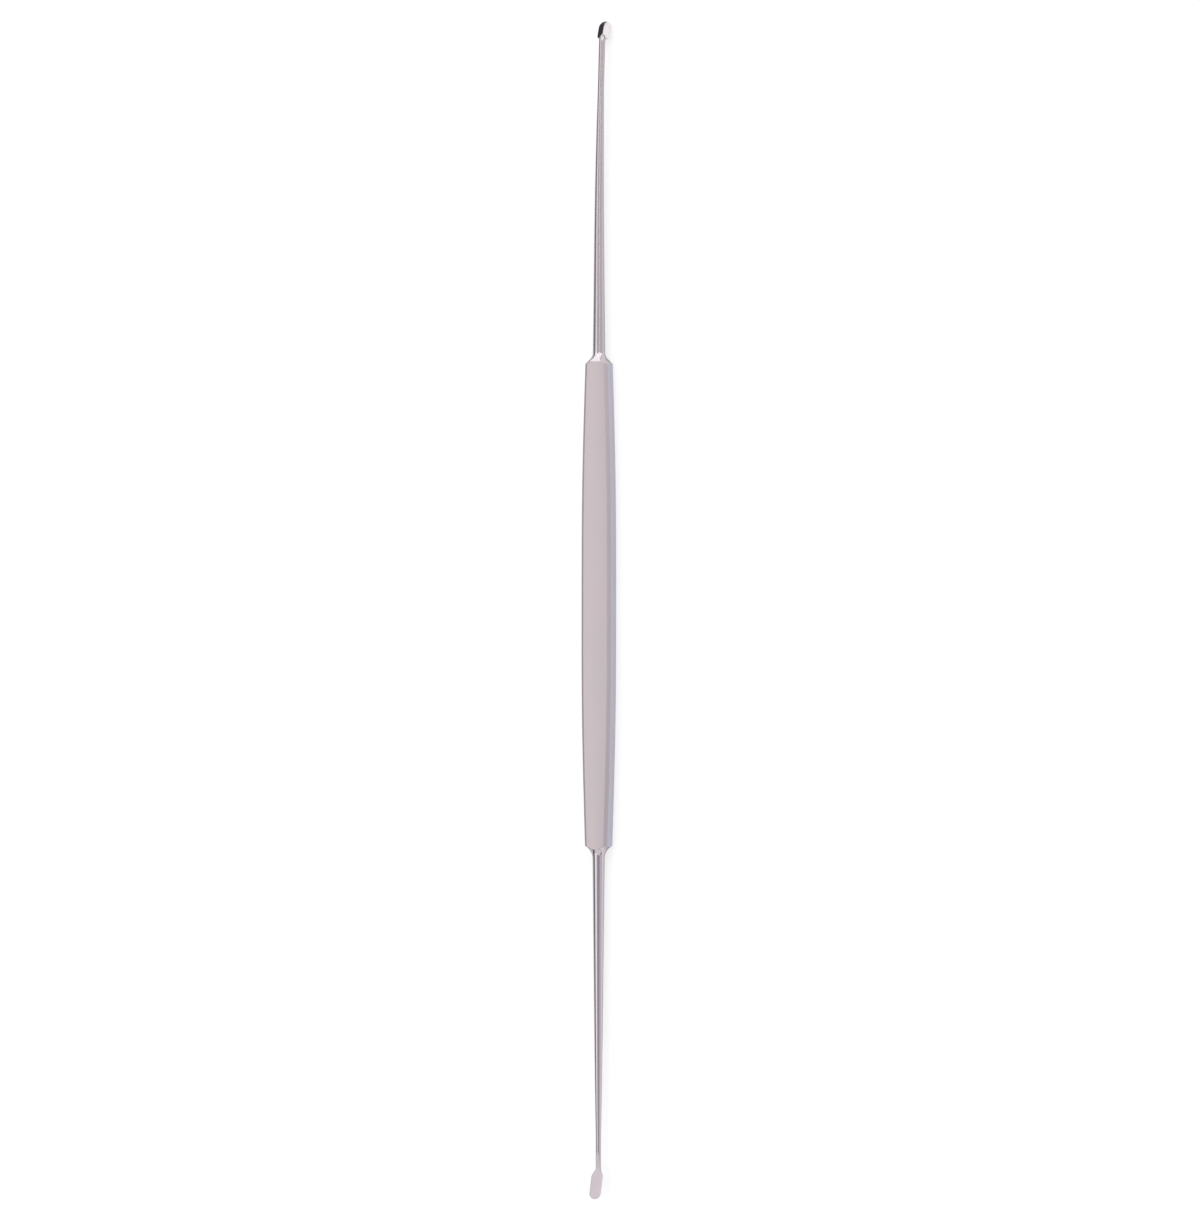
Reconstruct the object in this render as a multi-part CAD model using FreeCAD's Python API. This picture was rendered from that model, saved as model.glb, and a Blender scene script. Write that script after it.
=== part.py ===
"""Double-ended flap knife: a steel handle bar with a turned shaft and a small ground blade at each end.

The knife lies on the lower broad face of its handle, long axis along Y, with the short blade at the +Y
end. The origin is the centre of that lower face. Lengths are in millimetres and angles in degrees.
"""

import FreeCAD, Part
import math
import os

from FreeCAD import Placement, Rotation, Vector

# Handle: a bar of flattened octagonal section that swells towards the middle of its length
handle_length = 77.8
handle_thickness = 3.0
handle_edge_cut = 0.49
handle_width_middle = 5.23
short_taper_length = 19.6
short_taper_width = 5.03
short_neck_width = 3.82
long_taper_length = 22.7
long_taper_width = 5.11
long_neck_width = 3.82

# Necks: turned coves that run the bar down to the round shafts. At the short blade's neck each broad
# face also has a longer cove of its own, ground straight across
short_neck_diameter = 1.95
short_cove_radius = 1.6
short_cove_angle = 46.0
short_face_cove_length = 1.5
long_neck_diameter = 1.94
long_cove_radius = 2.25
long_cove_angle = 56.0
turning_margin = 0.3

# Shaft of the short blade, bowed a little to one side towards its blade
short_shaft_length = 50.45
short_shaft_taper = 42.3
short_shaft_diameter = 1.0
short_taper_swell = 0.05
short_bow = 0.51
short_bow_start = 16.5

# Short blade: ridge side up, flat side down
short_blade_length = 3.2
short_blade_width = 2.14
short_blade_thickness = 0.46
short_blade_tilt = 18.0
short_blade_drop = 0.3
short_shoulder_length = 0.45
short_shoulder_radius = 0.22
short_core_length = 1.1
short_flat_length = 2.0

# Shaft of the long blade, straight
long_shaft_length = 50.1
long_shaft_taper = 44.7
long_shaft_diameter = 0.86
long_taper_swell = 0.09
long_bow = 0.0
long_bow_start = 16.5

# Long blade: flat side up, ridge side down
long_blade_length = 5.02
long_blade_width = 2.04
long_blade_thickness = 0.45
long_blade_tilt = 15.5
long_blade_drop = 0.2
long_shoulder_length = 1.15
long_shoulder_radius = 0.3
long_core_length = 2.2
long_flat_length = 3.0

# Both blades: honed round the edge from the ridge side, and a little from the flat side
bend_radius = 2.0
edge_land = 0.04
honed_width = 0.17
honed_rise = 0.11
flat_honed_width = 0.28
flat_honed_rise = 0.02
core_tip_diameter = 0.16

bend_steps = 4
taper_steps = 6


def corner_reach(width):
    """Distance from the knife's axis to the outermost corner of the bar where it has this width."""
    return math.hypot(width / 2, handle_thickness / 2 - handle_edge_cut)


def cove_length(neck_diameter, cove_radius, cove_angle, neck_width):
    """Length along the axis from the neck to where the turned cove leaves the bar's corners."""
    angle = math.radians(cove_angle)
    cone_rise = corner_reach(neck_width) - neck_diameter / 2 - cove_radius * (1 - math.cos(angle))
    return cove_radius * math.sin(angle) + cone_rise / math.tan(angle)


short_neck_y = handle_length / 2 + cove_length(
    short_neck_diameter, short_cove_radius, short_cove_angle, short_neck_width
)
long_neck_y = -handle_length / 2 - cove_length(
    long_neck_diameter, long_cove_radius, long_cove_angle, long_neck_width
)


def handle_side(sign):
    """One swelling side of the bar in plan, from the long blade's neck to the short blade's neck."""
    stations = (
        (long_neck_y, long_neck_width),
        (long_taper_length - handle_length / 2, long_taper_width),
        (0, handle_width_middle),
        (handle_length / 2 - short_taper_length, short_taper_width),
        (short_neck_y, short_neck_width),
    )
    curve = Part.BSplineCurve()
    curve.interpolate([Vector(sign * width / 2, y, 0) for y, width in stations])
    return curve.toShape()


def handle_bar():
    """The bar at its full length, its four long edges cut at 45 degrees, before its ends are turned."""
    right = handle_side(1)
    left = handle_side(-1)
    ends = [
        Part.makeLine(right.Vertexes[i].Point, left.Vertexes[i].Point) for i in (0, -1)
    ]
    outline = Part.Wire(Part.__sortEdges__([right, ends[0], left, ends[1]]))
    bar = Part.Face(outline).extrude(Vector(0, 0, handle_thickness))
    long_edges = [e for e in bar.Edges if e.BoundBox.YLength > handle_length / 2]
    return bar.makeChamfer(handle_edge_cut, long_edges)


def cove_profile(neck_y, neck_diameter, cove_radius, cove_angle, reach, outward):
    """Edges of one turned end in the YZ plane, from the axis out to the reach of the turning."""
    angle = math.radians(cove_angle)
    neck = neck_diameter / 2

    def at(turn):
        along = cove_radius * math.sin(turn)
        return Vector(0, neck_y - outward * along, neck + cove_radius * (1 - math.cos(turn)))

    cone_run = (reach - at(angle).z) / math.tan(angle)
    rim = Vector(0, at(angle).y - outward * cone_run, reach)
    return [
        Part.makeLine(Vector(0, neck_y, 0), at(0)),
        Part.Arc(at(0), at(angle / 2), at(angle)).toShape(),
        Part.makeLine(at(angle), rim),
    ], rim


def turned_envelope():
    """The round form that the lathe leaves: a drum clear of the bar, with a cove at each end."""
    reach = corner_reach(handle_width_middle) + turning_margin
    short_end, short_rim = cove_profile(
        short_neck_y, short_neck_diameter, short_cove_radius, short_cove_angle, reach, 1
    )
    long_end, long_rim = cove_profile(
        long_neck_y, long_neck_diameter, long_cove_radius, long_cove_angle, reach, -1
    )
    axis_line = Part.makeLine(Vector(0, long_neck_y, 0), Vector(0, short_neck_y, 0))
    edges = short_end + long_end + [Part.makeLine(short_rim, long_rim), axis_line]
    profile = Part.Face(Part.Wire(Part.__sortEdges__(edges)))
    drum = profile.revolve(Vector(0, 0, 0), Vector(0, 1, 0), 360)
    drum.translate(Vector(0, 0, handle_thickness / 2))
    return drum


def face_coves():
    """What is ground off both broad faces at the short blade's neck: an arc that meets each face."""
    rise = (handle_thickness - short_neck_diameter) / 2
    half_turn = math.atan(rise / short_face_cove_length)
    radius = short_face_cove_length / math.sin(2 * half_turn)
    sag = radius * (1 - math.cos(half_turn))
    clear = handle_thickness / 2 + turning_margin
    start = Vector(0, short_neck_y, short_neck_diameter / 2)
    middle = Vector(0, short_neck_y - radius * math.sin(half_turn), start.z + sag)
    end = Vector(0, short_neck_y - short_face_cove_length, handle_thickness / 2)
    above_end = Vector(0, end.y, clear)
    above_start = Vector(0, start.y, clear)
    edges = [
        Part.Arc(start, middle, end).toShape(),
        Part.makeLine(end, above_end),
        Part.makeLine(above_end, above_start),
        Part.makeLine(above_start, start),
    ]
    upper = Part.Face(Part.Wire(edges)).extrude(Vector(short_neck_width, 0, 0))
    upper.translate(Vector(-short_neck_width / 2, 0, 0))
    lower = upper.mirror(Vector(), Vector(0, 0, 1))
    waste = Part.makeCompound([upper, lower])
    waste.translate(Vector(0, 0, handle_thickness / 2))
    return waste


def rounded_corner(before, corner, after, radius):
    """Arc that rounds the corner between two straight stretches of an outline."""
    back = (before - corner).normalize()
    ahead = (after - corner).normalize()
    half_inside = back.getAngle(ahead) / 2
    reach = radius / math.tan(half_inside)
    middle = (back + ahead).normalize()
    peak = corner + middle * (radius / math.sin(half_inside) - radius)
    return Part.Arc(corner + back * reach, peak, corner + ahead * reach)


def ring(placement, diameter):
    """A circle square to the shaft at a place along its centre line."""
    wire = Part.Wire(Part.makeCircle(diameter / 2, Vector(), Vector(0, 1, 0)))
    wire.Placement = placement
    return wire


class BladeEnd:
    """A shaft with its blade, made along +Y from the neck at the origin, flat side of the blade down."""

    def __init__(self, neck_diameter, length, taper, diameter, swell):
        self.neck_diameter = neck_diameter
        self.length = length
        self.taper = taper
        self.diameter = diameter
        self.swell = swell

    def set_bow(self, bow, start):
        """How far the shaft's far end bows to the side, and where along it the bow starts."""
        self.bow = bow
        self.bow_start = start

    def set_blade(self, length, width, thickness, tilt, drop):
        """The blade's own sizes, and how far its flat side lies off the shaft's axis."""
        self.blade_length = length
        self.blade_width = width
        self.thickness = thickness
        self.tilt = tilt
        self.drop = drop

    def set_root(self, shoulder_length, shoulder_radius, core_length, flat_length):
        """How the shaft runs out into the blade on its sides, on its ridge and on its flat side."""
        self.shoulder_length = shoulder_length
        self.shoulder_radius = shoulder_radius
        self.core_length = core_length
        self.flat_length = flat_length

    def on_centre_line(self, distance):
        """Placement on the shaft's centre line, turned so that its +Y runs along the shaft."""
        run = self.length - self.bow_start
        past = max(distance - self.bow_start, 0) / run
        yaw = math.degrees(math.atan(2 * self.bow * past / run))
        centre = Vector(self.bow * past**2, distance, 0)
        return Placement(centre, Rotation(Vector(0, 0, 1), -yaw))

    def on_bend(self, angle):
        """Placement on the bend from the shaft into the blade, where it has turned by this angle."""
        tangent = bend_radius * math.tan(math.radians(self.tilt / 2))
        turned = math.radians(angle)
        along = bend_radius * math.sin(turned) - tangent
        down = bend_radius * (1 - math.cos(turned))
        local = Placement(Vector(0, along, -down), Rotation(Vector(1, 0, 0), -angle))
        return self.on_centre_line(self.length) * local

    def on_blade(self, distance):
        """Placement on the blade's line, this far from the corner of the bend."""
        local = Placement(Vector(), Rotation(Vector(1, 0, 0), -self.tilt))
        return self.on_centre_line(self.length) * local * Placement(Vector(0, distance, 0), Rotation())

    def taper_diameter(self, share):
        """Diameter at a share of the taper's length, a little full of straight at two thirds of it."""
        straight = self.neck_diameter - (self.neck_diameter - self.diameter) * share
        fullest = 2 / 3
        peak = fullest**2 * (1 - fullest)
        return straight + self.swell * share**2 * (1 - share) / peak

    def shaft(self):
        """The round shaft: a taper, an even stretch, the bend, and a core that runs out in the blade."""
        tangent = bend_radius * math.tan(math.radians(self.tilt / 2))
        even_middle = (self.taper + self.length - tangent) / 2
        rings = []
        for i in range(taper_steps + 1):
            share = i / taper_steps
            placement = self.on_centre_line(self.taper * share)
            rings.append(ring(placement, self.taper_diameter(share)))
        rings.append(ring(self.on_centre_line(even_middle), self.diameter))
        for i in range(bend_steps + 1):
            rings.append(ring(self.on_bend(self.tilt * i / bend_steps), self.diameter))
        rings.append(ring(self.on_blade(self.core_length), core_tip_diameter))
        return Part.makeLoft(rings, True, True)

    def tongue(self):
        """The blade's plan: a root inside the shaft, sloping shoulders, straight sides, full round end."""
        radius = self.diameter / 2
        root = math.sqrt(radius**2 - self.drop**2)
        half = self.blade_width / 2
        round_centre = self.blade_length - half
        back = Vector(-root, -root, 0)
        neck = Vector(-root, 0, 0)
        shoulder = Vector(-half, self.shoulder_length, 0)
        side_end = Vector(-half, round_centre, 0)
        arc = rounded_corner(neck, shoulder, side_end, self.shoulder_radius)
        left = [
            Part.makeLine(back, neck),
            Part.makeLine(neck, arc.StartPoint),
            arc.toShape(),
            Part.makeLine(arc.EndPoint, side_end),
        ]
        right = [e.mirror(Vector(), Vector(1, 0, 0)) for e in left]
        tip = Vector(0, self.blade_length, 0)
        end = Part.Arc(side_end, tip, Vector(half, round_centre, 0)).toShape()
        base = Part.makeLine(back, Vector(root, -root, 0))
        outline = Part.Wire(Part.__sortEdges__(left + [end] + right + [base]))
        slab = Part.Face(outline).extrude(Vector(0, 0, self.thickness))
        return slab

    def hip(self, base_half, rise):
        """A ridge with even slopes to both sides that ends in half a cone round the blade's end."""
        round_centre = self.blade_length - self.blade_width / 2
        start = -self.blade_width
        corners = [
            Vector(-base_half, start, 0),
            Vector(base_half, start, 0),
            Vector(0, start, rise),
            Vector(-base_half, start, 0),
        ]
        roof = Part.Face(Part.makePolygon(corners)).extrude(Vector(0, round_centre - start, 0))
        cone = Part.makeCone(base_half, 0, rise, Vector(0, round_centre, 0), Vector(0, 0, 1))
        return roof.fuse(cone)

    def blade(self):
        """The tongue ground to a ridge, with a honed band round its edge on both sides."""
        half = self.blade_width / 2
        ground_slope = (self.thickness - honed_rise) / (half - honed_width)
        ground = self.hip(self.thickness / ground_slope, self.thickness)
        honed_slope = (honed_rise - edge_land) / honed_width
        honed_half = half + edge_land / honed_slope
        honed = self.hip(honed_half, honed_half * honed_slope)
        flat_slope = flat_honed_rise / flat_honed_width
        clear_half = half - flat_honed_width + self.thickness / flat_slope
        flat_honed = self.hip(clear_half, clear_half * flat_slope).mirror(Vector(), Vector(0, 0, 1))
        flat_honed.translate(Vector(0, 0, self.thickness))
        solid = self.tongue().common(ground).common(honed).common(flat_honed)
        solid.translate(Vector(0, 0, -self.drop))
        solid.Placement = self.on_blade(0) * solid.Placement
        return solid

    def flat_side(self):
        """What the wheel takes from the flat side: a long run on the shaft, then all below the blade."""
        tilt = math.radians(self.tilt)
        down = Vector(0, -math.sin(tilt), -math.cos(tilt))
        ahead = Vector(0, math.cos(tilt), -math.sin(tilt))
        run_start = Vector(0, -self.flat_length, -self.diameter / 2)
        blade_start = down * self.drop
        clear = self.blade_length + self.blade_width
        corners = [
            run_start,
            blade_start,
            blade_start + ahead * clear,
            blade_start + ahead * clear + down * clear,
            run_start - Vector(0, 0, clear),
            run_start,
        ]
        waste = Part.Face(Part.makePolygon(corners)).extrude(Vector(2 * self.blade_width, 0, 0))
        waste.translate(Vector(-self.blade_width, 0, 0))
        waste.Placement = self.on_centre_line(self.length) * waste.Placement
        return waste

    def build(self):
        """Shaft and blade fused, with the flat side ground off both."""
        return self.shaft().fuse(self.blade()).cut(self.flat_side())


def short_end():
    """Shaft and short blade, at the +Y end of the handle."""
    end = BladeEnd(
        short_neck_diameter,
        short_shaft_length,
        short_shaft_taper,
        short_shaft_diameter,
        short_taper_swell,
    )
    end.set_bow(short_bow, short_bow_start)
    end.set_blade(
        short_blade_length,
        short_blade_width,
        short_blade_thickness,
        short_blade_tilt,
        short_blade_drop,
    )
    end.set_root(short_shoulder_length, short_shoulder_radius, short_core_length, short_flat_length)
    solid = end.build()
    solid.translate(Vector(0, short_neck_y, handle_thickness / 2))
    return solid


def long_end():
    """Shaft and long blade, turned half a turn about X so that its flat side is up at the -Y end."""
    end = BladeEnd(
        long_neck_diameter,
        long_shaft_length,
        long_shaft_taper,
        long_shaft_diameter,
        long_taper_swell,
    )
    end.set_bow(long_bow, long_bow_start)
    end.set_blade(
        long_blade_length,
        long_blade_width,
        long_blade_thickness,
        long_blade_tilt,
        long_blade_drop,
    )
    end.set_root(long_shoulder_length, long_shoulder_radius, long_core_length, long_flat_length)
    solid = end.build()
    solid.rotate(Vector(), Vector(1, 0, 0), 180)
    solid.translate(Vector(0, long_neck_y, handle_thickness / 2))
    return solid


def flap_knife():
    """The whole knife as one piece of steel."""
    handle = handle_bar().common(turned_envelope()).cut(face_coves())
    return handle.fuse([short_end(), long_end()])


os.makedirs("parts", exist_ok=True)
knife = flap_knife()
knife.exportStep("parts/flap_knife.step")
print("solids", len(knife.Solids), "valid", knife.isValid(), "volume", round(knife.Volume, 2))
print("box", knife.BoundBox)
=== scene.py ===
"""Looks of a double-ended flap knife: a satin steel handle bar, turned shafts and two small blades.

The knife lies on the lower broad face of its handle, with its long axis along Y and the short blade
at the +Y end. One closed surface, worked out with numpy, stands for it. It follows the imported
solid, but for a slight crown on the broad faces. Sizes are written in millimetres, and meshes are
made in metres.
"""

import logging
import math
from dataclasses import dataclass, field
from enum import Enum

import bpy
import numpy as np
from mathutils import Matrix, Vector


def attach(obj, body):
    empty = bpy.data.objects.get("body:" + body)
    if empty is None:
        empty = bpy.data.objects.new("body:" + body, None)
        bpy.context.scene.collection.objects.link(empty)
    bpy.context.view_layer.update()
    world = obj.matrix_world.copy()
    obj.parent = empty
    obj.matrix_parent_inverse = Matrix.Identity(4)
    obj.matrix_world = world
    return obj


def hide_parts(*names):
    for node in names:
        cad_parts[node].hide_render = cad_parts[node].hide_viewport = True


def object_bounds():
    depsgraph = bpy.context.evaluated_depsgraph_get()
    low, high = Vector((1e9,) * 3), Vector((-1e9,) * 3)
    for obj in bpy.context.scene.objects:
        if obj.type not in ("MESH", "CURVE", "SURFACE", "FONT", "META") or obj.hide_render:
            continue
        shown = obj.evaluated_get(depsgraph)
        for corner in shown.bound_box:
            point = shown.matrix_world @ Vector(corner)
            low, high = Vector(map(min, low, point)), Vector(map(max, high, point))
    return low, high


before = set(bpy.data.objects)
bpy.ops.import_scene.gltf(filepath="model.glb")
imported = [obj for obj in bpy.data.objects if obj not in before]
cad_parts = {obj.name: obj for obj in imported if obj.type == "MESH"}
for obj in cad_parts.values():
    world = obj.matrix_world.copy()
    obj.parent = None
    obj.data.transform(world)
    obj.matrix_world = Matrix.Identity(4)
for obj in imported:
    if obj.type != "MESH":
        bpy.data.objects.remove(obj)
CAD_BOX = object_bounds()

LOG = logging.getLogger("flap_knife")
MM = 0.001
NODE = "flap_knife"

# Share by which two places that are worked out in different ways may miss each other.
ROUNDING = 1e-9
# A height in millimetres that is past every section, for places where a form isn't there.
BEYOND = 1e3


def linear(hex_colour: str) -> tuple[float, float, float, float]:
    """Turns an sRGB colour into the linear values that the shaders take.

    The sRGB curve is a straight line for the darkest tones and a power of 2.4 for the rest.

    Args:
        hex_colour: six hexadecimal digits, such as "C9BFC1".

    Returns:
        Linear red, green and blue, and an alpha of 1.
    """
    channels = [int(hex_colour[i : i + 2], 16) / 255 for i in (0, 2, 4)]
    curve = [c / 12.92 if c <= 0.04045 else ((c + 0.055) / 1.055) ** 2.4 for c in channels]
    return (*curve, 1.0)


def smooth_min(a: np.ndarray, b: np.ndarray, blend: float) -> np.ndarray:
    """The smaller of two values, with the corner between them rounded.

    Inside the blend width the result is the smaller value less a quarter of the width, times the
    square of one minus their difference over the width. So the two meet in a smooth curve.

    Args:
        a: first values.
        b: second values.
        blend: difference, in millimetres, within which the two are blended.

    Returns:
        The blended minimum.
    """
    short = np.clip(1 - np.abs(a - b) / blend, 0, 1)
    return np.minimum(a, b) - short**2 * blend / 4


def natural_spline(places: np.ndarray, values: np.ndarray, along: np.ndarray) -> np.ndarray:
    """A natural cubic spline through a few stations.

    The second slopes at the stations solve the usual tridiagonal system, with none at the two ends.
    Between two stations the value is the straight line plus the two cubic terms of those slopes.

    Args:
        places: increasing places of the stations.
        values: values at the stations.
        along: places to work out.

    Returns:
        Values on the curve.
    """
    gap = np.diff(places)
    slope = np.diff(values) / gap
    system = np.eye(len(places))
    right = np.zeros(len(places))
    for i in range(1, len(places) - 1):
        system[i, i - 1 : i + 2] = gap[i - 1], 2 * (gap[i - 1] + gap[i]), gap[i]
        right[i] = 6 * (slope[i] - slope[i - 1])
    second = np.linalg.solve(system, right)
    i = np.clip(np.searchsorted(places, along) - 1, 0, len(gap) - 1)
    step, before, after = gap[i], along - places[i], places[i + 1] - along
    line = (values[i] * after + values[i + 1] * before) / step
    low = second[i] * (after**3 / step - after * step) / 6
    high = second[i + 1] * (before**3 / step - before * step) / 6
    return line + low + high


def add_node(
    tree: bpy.types.NodeTree, kind: str, settings: dict, links: dict
) -> bpy.types.Node:
    """Adds a shader node with its settings and its incoming links.

    Args:
        tree: the node tree to add to.
        kind: the node's type, such as "ShaderNodeBump".
        settings: values by name, each an attribute of the node or one of its input sockets.
        links: output sockets by the name or number of the input that each one feeds.

    Returns:
        The new node.
    """
    node = tree.nodes.new(kind)
    for name, value in settings.items():
        if isinstance(name, str) and hasattr(node, name):
            setattr(node, name, value)
        else:
            node.inputs[name].default_value = value
    for name, socket in links.items():
        tree.links.new(socket, node.inputs[name])
    return node


class Finish(Enum):
    """The ways in which the steel is finished, numbered as the mesh's material slots are. The side
    faces take the satin finish with a painted reflection in its colour.

    Where the corners of a face differ, the first of their finishes in this list counts.
    """

    SATIN = 0
    TURNED = 1
    GROUND = 2
    STONED = 3
    SIDE = 4
    POLISHED = 5


@dataclass(frozen=True)
class Steel:
    """Stainless steel, taken as the metal from its look, in one of its finishes.

    The marks of the work run along the knife. They show as faint lengthwise streaks in brightness,
    and spread the reflections sideways. Real ones are a few hundredths of a millimetre wide, too
    fine to show, so they are drawn as coarse as they need to be. Broad patches are a little greyer
    or warmer. The edge tint keeps steel seen at a low angle, such as a rounded edge, dark.

    Attributes:
        name: name of the material.
        colour: sRGB colour of the bright streaks.
        streak_colour: sRGB colour of the dark streaks.
        patch_colour: sRGB colour of the patches.
        roughness: roughness midway between the streaks.
        roughness_spread: how far the streaks move the roughness either way.
        streak_width: size of a streak across the knife, in millimetres.
        streak_length: size of a streak along the knife, in millimetres.
        bump: height of the streaks' relief, in millimetres.
        patch_length: size of a patch, in millimetres.
        edge_tint: sRGB tint of what is reflected at a low angle.
        streak_range: noise values between which a streak goes from dark to bright.
        patch_range: noise values between which a patch fades in.
        noise_detail: number of finer layers in the noise.
        noise_roughness: strength of each finer layer as a share of the one before.
    """

    name: str
    colour: str
    streak_colour: str
    patch_colour: str
    roughness: float
    roughness_spread: float
    streak_width: float
    streak_length: float
    bump: float
    patch_length: float = 16.0
    edge_tint: str = "A4A4A4"
    streak_range: tuple[float, float] = (0.3, 0.7)
    patch_range: tuple[float, float] = (0.35, 0.65)
    noise_detail: float = 3.0
    noise_roughness: float = 0.6

    def material(self) -> bpy.types.Material:
        """Makes the finish as a node material.

        The streaks set the tone, the roughness and a very low relief, and the patches mix in their
        own colour.

        Returns:
            The material, named for the finish.
        """
        made = bpy.data.materials.new(self.name)
        made.use_nodes = True
        tree = made.node_tree
        tree.nodes.clear()
        streaks = self.marks(tree, self.streak_width, self.streak_length)
        patches = self.marks(tree, self.patch_length, self.patch_length)
        tone = add_node(tree, "ShaderNodeValToRGB", {}, {"Fac": streaks})
        for i, colour in enumerate((self.streak_colour, self.colour)):
            tone.color_ramp.elements[i].position = self.streak_range[i]
            tone.color_ramp.elements[i].color = linear(colour)
        share = add_node(
            tree,
            "ShaderNodeMapRange",
            {"From Min": self.patch_range[0], "From Max": self.patch_range[1]},
            {"Value": patches},
        )
        colour = add_node(
            tree,
            "ShaderNodeMixRGB",
            {"Color2": linear(self.patch_colour)},
            {"Fac": share.outputs["Result"], "Color1": tone.outputs["Color"]},
        )
        roughness = add_node(
            tree,
            "ShaderNodeMapRange",
            {
                "To Min": self.roughness - self.roughness_spread,
                "To Max": self.roughness + self.roughness_spread,
            },
            {"Value": streaks},
        )
        bump = add_node(
            tree,
            "ShaderNodeBump",
            {"Strength": 1.0, "Distance": self.bump * MM},
            {"Height": streaks},
        )
        shader = add_node(
            tree,
            "ShaderNodeBsdfPrincipled",
            {"Metallic": 1.0, "Specular Tint": linear(self.edge_tint)},
            {
                "Base Color": colour.outputs["Color"],
                "Roughness": roughness.outputs["Result"],
                "Normal": bump.outputs["Normal"],
            },
        )
        add_node(tree, "ShaderNodeOutputMaterial", {}, {"Surface": shader.outputs["BSDF"]})
        return made

    def marks(
        self, tree: bpy.types.NodeTree, width: float, length: float
    ) -> bpy.types.NodeSocket:
        """Adds soft irregular marks of a real size, fixed to the piece.

        Args:
            tree: the node tree to add to.
            width: size of a mark across the knife, in millimetres.
            length: size of a mark along the knife, in millimetres.

        Returns:
            The socket that gives the marks as values from 0 to 1.
        """
        place = add_node(tree, "ShaderNodeTexCoord", {}, {})
        scale = (1 / (width * MM), 1 / (length * MM), 1 / (width * MM))
        stretched = add_node(
            tree, "ShaderNodeMapping", {"Scale": scale}, {"Vector": place.outputs["Object"]}
        )
        noise = add_node(
            tree,
            "ShaderNodeTexNoise",
            {"Scale": 1.0, "Detail": self.noise_detail, "Roughness": self.noise_roughness},
            {"Vector": stretched.outputs["Vector"]},
        )
        return noise.outputs["Fac"]


STEELS: dict[Finish, Steel] = {
    # Brushed along the bar on a fine wheel: a warm grey sheen, with every reflection blurred.
    Finish.SATIN: Steel(
        name="steel_satin_brushed",
        colour="BEB3B5",
        streak_colour="BBB0B2",
        patch_colour="B9B2B2",
        roughness=0.4,
        roughness_spread=0.05,
        streak_width=0.5,
        streak_length=30.0,
        bump=0.002,
    ),
    # Turned and finished with emery: clearer than brushed steel, with one soft line of light.
    Finish.TURNED: Steel(
        name="steel_turned_satin",
        colour="C2B9BB",
        streak_colour="BBB1B4",
        patch_colour="BDB7B8",
        roughness=0.24,
        roughness_spread=0.03,
        streak_width=0.3,
        streak_length=20.0,
        bump=0.0008,
    ),
    # Ground and polished: almost a mirror, so a facet is as bright or dark as what it faces.
    Finish.GROUND: Steel(
        name="steel_ground_blade",
        colour="C4BFC0",
        streak_colour="BEB8BA",
        patch_colour="C0BDBD",
        roughness=0.12,
        roughness_spread=0.03,
        streak_width=0.12,
        streak_length=4.0,
        bump=0.0005,
    ),
    # Dressed flat on a stone: an even and slightly darker grey.
    Finish.STONED: Steel(
        name="steel_stoned_flat",
        colour="B7AEB1",
        streak_colour="B3ACAF",
        patch_colour="B3ACAE",
        roughness=0.36,
        roughness_spread=0.04,
        streak_width=0.12,
        streak_length=4.0,
        bump=0.001,
    ),
    # Brushed as the broad faces are. The paler, bluer colour is a painted reflection of the cool
    # light that the side faces reflect.
    Finish.SIDE: Steel(
        name="steel_satin_side_painted_reflection",
        colour="CBC8D3",
        streak_colour="C8C5D1",
        patch_colour="C8C6D0",
        roughness=0.4,
        roughness_spread=0.05,
        streak_width=0.5,
        streak_length=30.0,
        bump=0.002,
    ),
    # Turned and polished, at the necks: narrow bright spots that follow the coves.
    Finish.POLISHED: Steel(
        name="steel_turned_polished",
        colour="CBC1C4",
        streak_colour="C5BBBE",
        patch_colour="C7C0C2",
        roughness=0.13,
        roughness_spread=0.02,
        streak_width=0.3,
        streak_length=20.0,
        bump=0.0006,
    ),
}


@dataclass(frozen=True)
class Cove:
    """A turned neck between the handle bar and a shaft: an arc out from the shaft, then a cone.

    Attributes:
        neck_diameter: diameter where the cove leaves the shaft.
        radius: radius of the arc.
        angle: slope of the cone against the axis, in degrees.
        reach_at_bar: distance from the axis to the bar's corners, where the cove ends.
    """

    neck_diameter: float
    radius: float
    angle: float
    reach_at_bar: float

    @property
    def length(self) -> float:
        """Length along the axis from the neck to the bar's corners."""
        turn = math.radians(self.angle)
        arc_rise = self.radius * (1 - math.cos(turn))
        cone_rise = self.reach_at_bar - self.neck_diameter / 2 - arc_rise
        return self.radius * math.sin(turn) + cone_rise / math.tan(turn)

    def envelope(self, along: np.ndarray) -> np.ndarray:
        """Radius of the turned form at a distance from the neck.

        On the arc the radius is the neck's plus the arc's radius less its height, the root of
        radius squared less distance squared. Past the arc it rises in a straight line.

        Args:
            along: distances from the neck towards the handle.

        Returns:
            Radii in millimetres.
        """
        turn = math.radians(self.angle)
        arc_end = self.radius * math.sin(turn)
        on_arc = self.radius - np.sqrt(self.radius**2 - np.clip(along, 0, arc_end) ** 2)
        return self.neck_diameter / 2 + on_arc + np.maximum(along - arc_end, 0) * math.tan(turn)


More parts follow.
